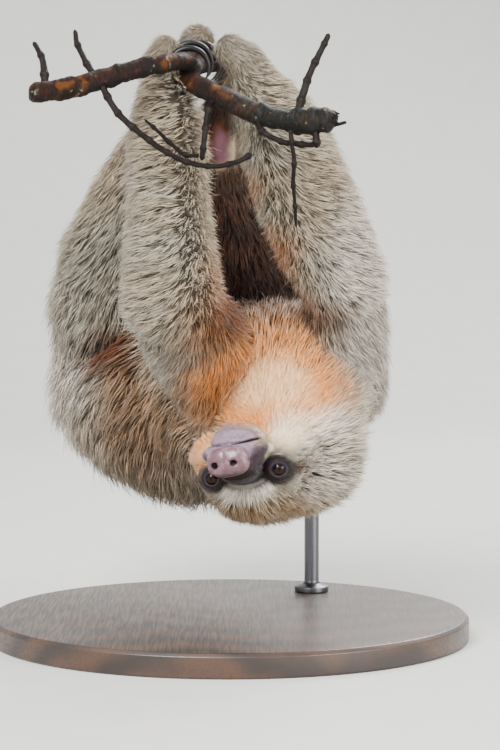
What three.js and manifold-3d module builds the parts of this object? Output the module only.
// A young two-toed sloth (Choloepus) hanging belly up from a forked branch, head thrown back and
// upside down, on a plain display stand: a round base and one rod that carries the branch.
// Millimetres, +Z up. The origin is the centre of the base's underside. The animal faces -Y, and
// its own left side is on -X, because it hangs upside down.
import * as THREE from "three";
import { mergeVertices } from "three/addons/utils/BufferGeometryUtils.js";
import Module from "manifold-3d";

const wasm = await Module();
wasm.setup();

// ---------------------------------------------------------------- driving dimensions
const GAP = 0.3; // clearance between two pieces that meet
const EYE_RADIUS = 5.7;
const EYE_SPACING = 38; // between the eyes' centres
const NOSE_SIZE = [22.6, 11, 17]; // across, front to back, high
const NOSTRIL_RADIUS = 1.9;
const NOSTRIL_SPACING = 10.2;
const CLAW_THICK = 5; // at the root, in the plane of the curve
const CLAW_WIDE = 4.2;
const CLAW_TAPER = 0.78; // of its thickness, lost from the root to the tip
const BRANCH_RADIUS = 5.6;
const BASE_RADIUS = 140;
const BASE_THICK = 14;
const BASE_CHAMFER = 2;
const ROD_RADIUS = 4.5;
const CUP_RADIUS = 9;
const CUP_DEPTH = 16;

// The head's own frame: its origin lies halfway between the eyes.
const EYE_LINE_MIDDLE = [9.8, -110, 108.2];
const HEAD_FORWARD = [-0.331, -0.9425, 0.0453]; // towards the nose
const HEAD_CROWN = [0.1415, -0.097, -0.9848]; // towards the crown, which hangs lowest

// Joints of the skeleton, from which the limbs, trunk and neck are drawn.
const SHOULDER = { left: [-1.8, -16, 152], right: [61, 2, 151] };
const ELBOW = { left: [-32.5, -80, 203], right: [66, -51, 212] };
const WRIST = { left: [-37, -69, 331], right: [9, -54, 333] };
const HIP = { left: [-66, 112, 160], right: [-22, 128, 168] };
const KNEE = { left: [-77, 67, 222], right: [24, 70, 214] };
const ANKLE = { left: [-42, 17, 303], right: [-1, 24, 273] };
const CHEST = [30, -8, 146];
const RIBS = [6.1, 32, 137.9];
const BELLY = [-24.7, 77, 131];
const PELVIS = [-53, 110, 142];
const RUMP = [-63, 130, 164];

// ---------------------------------------------------------------- small helpers
const vec = (p) => new THREE.Vector3(...p);
const X_AXIS = new THREE.Vector3(1, 0, 0);
const Y_AXIS = new THREE.Vector3(0, 1, 0);

/** A closed three.js geometry as a manifold-3d solid. */
function solidOf(geometry) {
  const bare = geometry.clone();
  for (const name of ["normal", "uv"]) bare.deleteAttribute(name);
  const merged = mergeVertices(bare, 1e-3);
  return new wasm.Manifold(
    new wasm.Mesh({
      numProp: 3,
      vertProperties: merged.attributes.position.array,
      triVerts: new Uint32Array(merged.index.array),
    }),
  );
}

/** A manifold-3d solid back as a three.js geometry. */
function geometryOf(solid) {
  const mesh = solid.getMesh();
  const geometry = new THREE.BufferGeometry();
  geometry.setAttribute("position", new THREE.BufferAttribute(mesh.vertProperties, 3));
  geometry.setIndex(new THREE.BufferAttribute(mesh.triVerts, 1));
  geometry.computeVertexNormals();
  return geometry;
}

/**
 * A round-ended body along a smooth curve through points. A lathe of unit radius is bent along
 * the curve. radii gives one radius for each point, or [across, deep] where the section is oval:
 * "across" is measured along the direction named by side.
 */
function tube(points, radii, { sides = 12, rings = 5, caps = 2, side = X_AXIS, grow = 0 } = {}) {
  const curve = new THREE.CatmullRomCurve3(points.map(vec), false, "centripetal");
  const pairs = radii.map((r) => (Array.isArray(r) ? r : [r, r]));
  const sizes = new THREE.CatmullRomCurve3(pairs.map(([a, b]) => new THREE.Vector3(a, b, 0)));
  const profile = [new THREE.Vector2(0, 0)];
  const stations = [{ t: 0, bulge: -1 }];
  const addStation = (t, bulge) => {
    profile.push(new THREE.Vector2(Math.sqrt(1 - bulge * bulge), stations.length));
    stations.push({ t, bulge });
  };
  for (let i = caps - 1; i >= 1; i--) addStation(0, -Math.sin((i * Math.PI) / 2 / caps));
  for (let i = 0; i <= rings; i++) addStation(i / rings, 0);
  for (let i = 1; i < caps; i++) addStation(1, Math.sin((i * Math.PI) / 2 / caps));
  profile.push(new THREE.Vector2(0, stations.length));
  stations.push({ t: 1, bulge: 1 });

  const geometry = new THREE.LatheGeometry(profile, sides);
  const position = geometry.attributes.position;
  for (let i = 0; i < position.count; i++) {
    const { t, bulge } = stations[Math.round(position.getY(i))];
    const size = sizes.getPoint(t);
    const along = curve.getTangent(t);
    const across = side.clone().addScaledVector(along, -side.dot(along)).normalize();
    const deep = new THREE.Vector3().crossVectors(across, along);
    const end = Math.min(size.x, size.y) + grow;
    const place = curve
      .getPoint(t)
      .addScaledVector(along, bulge * end)
      .addScaledVector(across, position.getX(i) * (size.x + grow))
      .addScaledVector(deep, position.getZ(i) * (size.y + grow));
    position.setXYZ(i, place.x, place.y, place.z);
  }
  return solidOf(geometry);
}

// ---------------------------------------------------------------- the head's frame
const headForward = vec(HEAD_FORWARD).normalize();
const headCrown = vec(HEAD_CROWN).addScaledVector(headForward, -headForward.dot(vec(HEAD_CROWN)));
headCrown.normalize();
const headRight = new THREE.Vector3().crossVectors(headForward, headCrown);
const headFrame = new THREE.Matrix4()
  .makeBasis(headRight, headForward, headCrown)
  .setPosition(vec(EYE_LINE_MIDDLE));

/** A point given in the head's frame as (towards its right, forward, towards the crown). */
const headPoint = (right, forward, crown) =>
  new THREE.Vector3(right, forward, crown).applyMatrix4(headFrame);

/** An ellipsoid in the head's frame, as a solid. */
function headEllipsoid(centre, size, { sides = 10, rings = 7, grow = 0 } = {}) {
  const geometry = new THREE.SphereGeometry(1, sides, rings);
  geometry.scale(size[0] + grow, size[1] + grow, size[2] + grow);
  geometry.translate(...centre);
  geometry.applyMatrix4(headFrame);
  return solidOf(geometry);
}

// The lumps that make up the head, out to the tips of its coat: [centre, semi-axes].
const HEAD_LUMPS = [
  [[0, -27, 3], [37, 37, 28]], // cranium
  [[0, -8, 9], [27, 15, 15]], // forehead
  [[21, -15, -9], [15, 19, 17]], // cheeks
  [[-21, -15, -9], [15, 19, 17]],
  [[0, 9, -11], [14.5, 18, 11.5]], // muzzle
  [[0, 4, -19], [13, 18, 9.5]], // lower jaw
  [[18.5, -5.5, 0.5], [8.6, 7.5, 8.4]], // eyelids and brow
  [[-18.5, -5.5, 0.5], [8.6, 7.5, 8.4]],
];
const HEAD_BLEND = 6; // how softly the lumps run together
const HEAD_CORE = [0, -12, -4]; // every point of the surface is seen from here
const HEAD_DETAIL = 6;
const CUTTER_DETAIL = 3; // the coarser head that its neighbours are cut by
const CUTTER_MARGIN = 1.8; // so that it still clears the fine one

/** Roughly the distance of p from an ellipsoid's surface, negative inside. */
function lumpDistance(p, [centre, size]) {
  const near = [0, 1, 2].map((i) => (p[i] - centre[i]) / size[i]);
  const nearer = near.map((n, i) => n / size[i]);
  const k = Math.hypot(...near);
  return (k * (k - 1)) / Math.max(Math.hypot(...nearer), 1e-6);
}

/** The lumps' smooth union. */
function headDistance(p) {
  return HEAD_LUMPS.map((lump) => lumpDistance(p, lump)).reduce((a, b) => {
    const h = Math.max(HEAD_BLEND - Math.abs(a - b), 0) / HEAD_BLEND;
    return Math.min(a, b) - (h * h * HEAD_BLEND) / 4;
  });
}

/** How far the head's surface lies from its core in a direction, by halving steps. */
function headReach(direction) {
  let low = 0;
  let high = 90;
  for (let step = 0; step < 24; step++) {
    const middle = (low + high) / 2;
    const p = HEAD_CORE.map((c, i) => c + direction[i] * middle);
    if (headDistance(p) < 0) low = middle;
    else high = middle;
  }
  return low;
}

function headForm(grow) {
  const geometry = new THREE.IcosahedronGeometry(1, grow ? CUTTER_DETAIL : HEAD_DETAIL);
  const position = geometry.attributes.position;
  for (let i = 0; i < position.count; i++) {
    const direction = [position.getX(i), position.getY(i), position.getZ(i)];
    const reach = headReach(direction) + (grow ? CUTTER_MARGIN : 0);
    position.setXYZ(i, ...HEAD_CORE.map((c, axis) => c + direction[axis] * reach));
  }
  geometry.applyMatrix4(headFrame);
  return solidOf(geometry);
}

// The mouth's right half in the head's frame, from the corner to the middle.
const MOUTH = [
  [17, 3, -17.5],
  [15.5, 12, -18],
  [10, 22, -17.5],
  [0, 27.5, -16.5],
];
const MOUTH_GROOVE = [1.8, 0.7]; // half its depth and half its height
/** The closed lips' groove, which is cut into the head. */
function mouthGroove() {
  const other = MOUTH.slice(0, -1).map(([right, ...rest]) => [-right, ...rest]);
  const line = [...MOUTH, ...other.reverse()].map((p) => headPoint(...p).toArray());
  const size = line.map(() => MOUTH_GROOVE);
  return tube(line, size, { sides: 4, rings: 6, caps: 1, side: headForward });
}

const NOSE_CENTRE = [0, 25.5, -8.5];
const NOSTRIL_FORWARD = 30.2;
const NOSTRIL_DEPTH = 2.6;
/** The bare nose pad, with two nostrils sunk in it. */
function noseForm(grow) {
  const size = NOSE_SIZE.map((s) => s / 2);
  const pad = headEllipsoid(NOSE_CENTRE, size, { sides: 14, rings: 8, grow });
  if (grow) return pad;
  return [-1, 1].reduce((left, which) => {
    const centre = [(which * NOSTRIL_SPACING) / 2, NOSTRIL_FORWARD, NOSE_CENTRE[2]];
    const hole = [NOSTRIL_RADIUS, NOSTRIL_DEPTH, NOSTRIL_RADIUS * 0.85];
    return left.subtract(headEllipsoid(centre, hole, { sides: 6, rings: 4 }));
  }, pad);
}

const EAR_AT = [33.5, -36, -3]; // the right ear
const EAR_SIZE = [3, 7, 8];
const sideOf = { left: -1, right: 1 };
const eyeForm = (which) => (grow) =>
  headEllipsoid([(sideOf[which] * EYE_SPACING) / 2, 0, 0], Array(3).fill(EYE_RADIUS), { grow });
const earForm = (which) => (grow) =>
  headEllipsoid([sideOf[which] * EAR_AT[0], EAR_AT[1], EAR_AT[2]], EAR_SIZE, { sides: 6, rings: 5, grow });

// ---------------------------------------------------------------- claws
/**
 * A hooked claw: a tapering horn on part of a circle that stands across the branch.
 * Angles are in degrees from +X towards +Z, in a plane that faces -Y.
 */
function claw({ centre, radius, from, to }) {
  const steps = 6;
  const points = [];
  const sizes = [];
  for (let i = 0; i <= steps; i++) {
    const angle = THREE.MathUtils.degToRad(from + ((to - from) * i) / steps);
    const thin = 1 - CLAW_TAPER * (i / steps) ** 1.4;
    points.push([
      centre[0] + radius * Math.cos(angle),
      centre[1],
      centre[2] + radius * Math.sin(angle),
    ]);
    sizes.push([(CLAW_WIDE / 2) * thin, (CLAW_THICK / 2) * thin]);
  }
  return (grow) => tube(points, sizes, { sides: 5, rings: 5, caps: 1, side: Y_AXIS, grow });
}

// One row for each claw's circle: the hand or foot, its centre, radius and swing.
const CLAWS = {
  hand_left: [
    { centre: [-21.4, -75.5, 328.4], radius: 10.8, from: 140, to: -44 },
    { centre: [-20.2, -68.5, 331], radius: 11.4, from: 138, to: -40 },
  ],
  hand_right: [-52.5, -45.5].map((y) => ({
    centre: [-20.5, y, 329],
    radius: 12.4,
    from: 18,
    to: 200,
  })),
  foot_left: [-21, -14, -7].map((y, i) => ({
    centre: [-16.2 + 1.6 * i, y, 333.4],
    radius: 11.2,
    from: 115,
    to: -60,
  })),
  foot_right: [9, 16, 23].map((y, i) => ({
    centre: [-4.4 + 3.6 * i, y, 334],
    radius: 11,
    from: 12,
    to: 200,
  })),
};

// ---------------------------------------------------------------- branch and twigs
const BRANCH = [
  [58, -127, 300],
  [47, -123, 298],
  [37.7, -119, 298.4],
  [18.5, -110, 301.8],
  [-8.7, -93, 314.7],
  [-23.3, -72, 322.6],
  [-20.6, -43, 329.5],
  [-13, -8, 334],
  [5, 27, 334],
  [30, 60, 320],
  [50, 86, 299],
];
const BRANCH_SWELL = [0.82, 1.18, 1.1, 1, 1, 1, 0.96, 0.96, 1, 1.04, 1.04]; // of its radius
const SIDE_BRANCH = [
  [-106, -120, 312.6],
  [-82, -112, 317],
  [-63.5, -106, 322.6],
  [-42.2, -97, 328.6],
  [-28.9, -87.5, 331.4],
  [-20.5, -76, 330.6],
  [-22, -64, 325],
];
const SIDE_BRANCH_SWELL = [0.96, 1.04, 1, 0.93, 0.91, 0.82, 0.82];

const woodForm = (line, swell, rings) => (grow) => {
  const radii = swell.map((k) => k * BRANCH_RADIUS);
  return tube(line, radii, { sides: 8, rings, side: Y_AXIS, grow });
};

// Twigs: where each one runs, and its radius at the root and the tip.
const TWIGS = {
  perch_twig_long: {
    run: [
      [-67.5, -110.5, 317],
      [-59, -118, 303],
      [-47, -121, 292],
      [-32, -121, 281.4],
      [-19.5, -119, 276],
      [-6, -117, 274.2],
      [6, -115, 277],
      [13, -114, 281],
    ],
    root: 1.9,
    tip: 1.2,
  },
  perch_twig_drop: {
    run: [
      [-8.4, -98, 310],
      [-11, -104, 302],
      [-12.4, -110, 290],
      [-14, -112, 277.6],
    ],
    root: 1.9,
    tip: 1.4,
  },
  perch_twig_fork: {
    run: [
      [-15.6, -112.6, 280],
      [-23, -114, 280.6],
      [-30, -115, 286],
      [-37, -116, 292.6],
      [-44.5, -116, 299.4],
    ],
    root: 1.3,
    tip: 0.8,
  },
  perch_twig_hook: {
    run: [
      [16, -116, 297.6],
      [19, -121, 292.5],
      [27, -123, 288],
      [37, -123.5, 286],
      [48.5, -123, 285.8],
    ],
    root: 1.6,
    tip: 1.5,
  },
  perch_twig_tail: {
    run: [
      [33.5, -124, 293.6],
      [34.4, -126, 286],
      [35.6, -127, 276],
      [35, -126.5, 267],
      [35.8, -125.6, 256],
      [36.6, -125, 242],
    ],
    root: 1.3,
    tip: 0.9,
  },
  perch_twig_spur: {
    run: [
      [37.6, -118, 303],
      [40.6, -114.5, 313],
      [44.6, -111, 325],
      [50, -108, 336],
      [54.6, -106, 345.4],
    ],
    root: 2.3,
    tip: 1.5,
  },
  perch_twig_stub: {
    run: [
      [46.6, -125, 293],
      [47.4, -127, 288.4],
      [47.2, -128, 284],
    ],
    root: 2.4,
    tip: 1.7,
  },
  perch_twig_upper: {
    run: [
      [-72.6, -107, 324],
      [-77.4, -104, 332],
      [-81.4, -102, 341],
      [-82.6, -101, 348],
    ],
    root: 2,
    tip: 1.3,
  },
  perch_twig_end: {
    run: [
      [-98, -115, 317],
      [-98.6, -111, 326],
      [-100.6, -108, 334],
      [-104.6, -106, 341],
    ],
    root: 2.4,
    tip: 1.3,
  },
};
const twigForm = ({ run, root, tip }) => (grow) => {
  const radii = run.map((_, i) => root + ((tip - root) * i) / (run.length - 1));
  return tube(run, radii, { sides: 4, caps: 1, side: Y_AXIS, grow });
};

// ---------------------------------------------------------------- stand
const ROD_AT = [50, 86];
const CUP_TOP = 297;

/** A turned piece about a vertical axis, from [radius, height] pairs. */
function turned(outline, [x, y], segments) {
  const profile = outline.map(([r, z]) => new THREE.Vector2(r, z));
  const geometry = new THREE.LatheGeometry(profile, segments);
  geometry.rotateX(Math.PI / 2);
  geometry.translate(x, y, 0);
  return solidOf(geometry);
}

const baseForm = () => {
  const outline = [
    [0, 0],
    [BASE_RADIUS, 0],
    [BASE_RADIUS, BASE_THICK - BASE_CHAMFER],
    [BASE_RADIUS - BASE_CHAMFER, BASE_THICK],
    [0, BASE_THICK],
  ];
  return turned(outline, [0, 0], 32);
};
const rodForm = () =>
  turned(
    [
      [0, BASE_THICK + GAP],
      [ROD_RADIUS + 6, BASE_THICK + GAP],
      [ROD_RADIUS + 6, BASE_THICK + 3],
      [ROD_RADIUS, BASE_THICK + 5],
      [ROD_RADIUS, CUP_TOP - CUP_DEPTH - GAP],
      [0, CUP_TOP - CUP_DEPTH - GAP],
    ],
    ROD_AT,
    12,
  );
const cupForm = () =>
  turned(
    [
      [0, CUP_TOP - CUP_DEPTH],
      [CUP_RADIUS - 2.5, CUP_TOP - CUP_DEPTH],
      [CUP_RADIUS, CUP_TOP - CUP_DEPTH + 3],
      [CUP_RADIUS, CUP_TOP],
      [0, CUP_TOP],
    ],
    ROD_AT,
    12,
  );

// ---------------------------------------------------------------- limbs, neck and trunk
const handForms = {
  left: (grow) => tube([WRIST.left, [-34.5, -69, 340]], [11.6, 9], { rings: 2, grow }),
  right: (grow) => tube([WRIST.right, [1, -52, 340]], [12, 10.4], { rings: 2, grow }),
};
const footForms = {
  left: (grow) =>
    tube([ANKLE.left, [-26.5, 4, 333], [-18, -10, 347]], [13, 12, 11.5], { rings: 3, grow }),
  right: (grow) => {
    const size = [[17, 15], [17, 11], [14.5, 9], [9, 9]];
    return tube([ANKLE.right, [-3.5, 19, 292], [-1, 17, 314], [6, 16, 332]], size, { grow });
  },
};
const forearmForms = {
  left: (grow) =>
    tube(
      [ELBOW.left, [-33.4, -81, 230], [-33.8, -78, 258], [-34.5, -74, 285], [-35, -71, 307], WRIST.left],
      [27.5, 25.4, 22, 22, 19, 9.5],
      { rings: 7, grow },
    ),
  right: (grow) =>
    tube(
      [ELBOW.right, [56, -54, 231], [44.5, -55, 257], [34, -55, 284], [27.5, -55, 302], WRIST.right],
      [23, 27.5, 28, 25.5, 21, 10],
      { rings: 8, grow },
    ),
};
const upperArmForms = {
  left: (grow) => tube([SHOULDER.left, [-19, -48, 178], ELBOW.left], [33, 31, 25], { rings: 4, grow }),
  right: (grow) =>
    tube([SHOULDER.right, [65, -22, 184], ELBOW.right], [33, 28, 21], { rings: 4, grow }),
};
const shankForms = {
  left: (grow) => tube([KNEE.left, [-60, 42, 263], ANKLE.left], [27, 21.5, 11.5], { grow }),
  right: (grow) => tube([KNEE.right, [8, 47, 246], ANKLE.right], [31, 26.5, 14], { grow }),
};
const thighForms = {
  left: (grow) => tube([HIP.left, [-76, 90, 192], KNEE.left], [43, 37, 25], { rings: 4, grow }),
  right: (grow) => tube([HIP.right, [0, 100, 192], KNEE.right], [38, 35, 27], { rings: 4, grow }),
};
const neckForm = (grow) =>
  tube([[37, -68, 117], [34, -43, 131], [31.1, -13, 146]], [[42, 38], [45, 42], [48, 46]], {
    rings: 4,
    caps: 3,
    grow,
  });
const chestForm = (grow) => tube([CHEST, RIBS], [51, 60], { sides: 14, rings: 3, caps: 3, grow });
const bellyForm = (grow) =>
  tube([BELLY, PELVIS, RUMP], [63, 61, 49], { sides: 14, rings: 4, caps: 3, grow });

// ---------------------------------------------------------------- colours
const finish = (color, roughness, metalness = 0) =>
  new THREE.MeshStandardMaterial({ color, roughness, metalness });
const COAT = finish(0xb39e84, 0.95);
const FACE = finish(0xcf9b68, 0.9);
const SKIN = finish(0xb58a88, 0.5);
const EYE = finish(0x3a2015, 0.1);
const HORN = finish(0x3b332e, 0.4);
const BARK = finish(0x4a3228, 0.85);
const STEEL = finish(0x2b2b2d, 0.4, 0.8);
const WOOD = finish(0x9c7a55, 0.5);

// ---------------------------------------------------------------- assembly
// Every piece, in the order in which it is fitted: each is cut to clear those before it.
const pieces = [
  ["stand_base", WOOD, baseForm],
  ["stand_rod", STEEL, rodForm],
  ...Object.entries(CLAWS).flatMap(([limb, claws]) =>
    claws.map((shape, i) => [`${limb}_claw_${i + 1}`, HORN, claw(shape)]),
  ),
  ["perch_branch", BARK, woodForm(BRANCH, BRANCH_SWELL, 14)],
  ["perch_side_branch", BARK, woodForm(SIDE_BRANCH, SIDE_BRANCH_SWELL, 8)],
  ["stand_cup", STEEL, cupForm],
  ["eye_left", EYE, eyeForm("left")],
  ["eye_right", EYE, eyeForm("right")],
  ["nose", SKIN, noseForm],
  ["ear_left", FACE, earForm("left")],
  ["ear_right", FACE, earForm("right")],
  ["head", FACE, headForm],
  ["hand_left", COAT, handForms.left],
  ["hand_right", COAT, handForms.right],
  ["foot_left", COAT, footForms.left],
  ["foot_right", COAT, footForms.right],
  ["arm_left_fore", COAT, forearmForms.left],
  ["arm_right_fore", COAT, forearmForms.right],
  ["leg_left_shank", COAT, shankForms.left],
  ["leg_right_shank", COAT, shankForms.right],
  ["arm_left_upper", COAT, upperArmForms.left],
  ["arm_right_upper", COAT, upperArmForms.right],
  ["neck", COAT, neckForm],
  ["chest", COAT, chestForm],
  ["leg_left_thigh", COAT, thighForms.left],
  ["leg_right_thigh", COAT, thighForms.right],
  ["belly", COAT, bellyForm],
  ...Object.entries(TWIGS).map(([name, twig]) => [name, BARK, twigForm(twig)]),
];

const sloth = new THREE.Group();
const fitted = []; // the earlier pieces, grown by the gap, with their boxes
const boxOf = (solid) => {
  const { min, max } = solid.boundingBox();
  return new THREE.Box3(vec(min), vec(max));
};
for (const [name, material, form] of pieces) {
  let solid = form(0);
  for (const earlier of fitted) {
    if (boxOf(solid).intersectsBox(earlier.box)) solid = solid.subtract(earlier.grown);
  }
  if (name === "head") solid = solid.subtract(mouthGroove());
  const largest = solid.decompose().sort((a, b) => b.volume() - a.volume())[0];
  const mesh = new THREE.Mesh(geometryOf(largest), material);
  mesh.name = name;
  sloth.add(mesh);
  const grown = form(GAP);
  fitted.push({ grown, box: boxOf(grown) });
}

export default sloth;
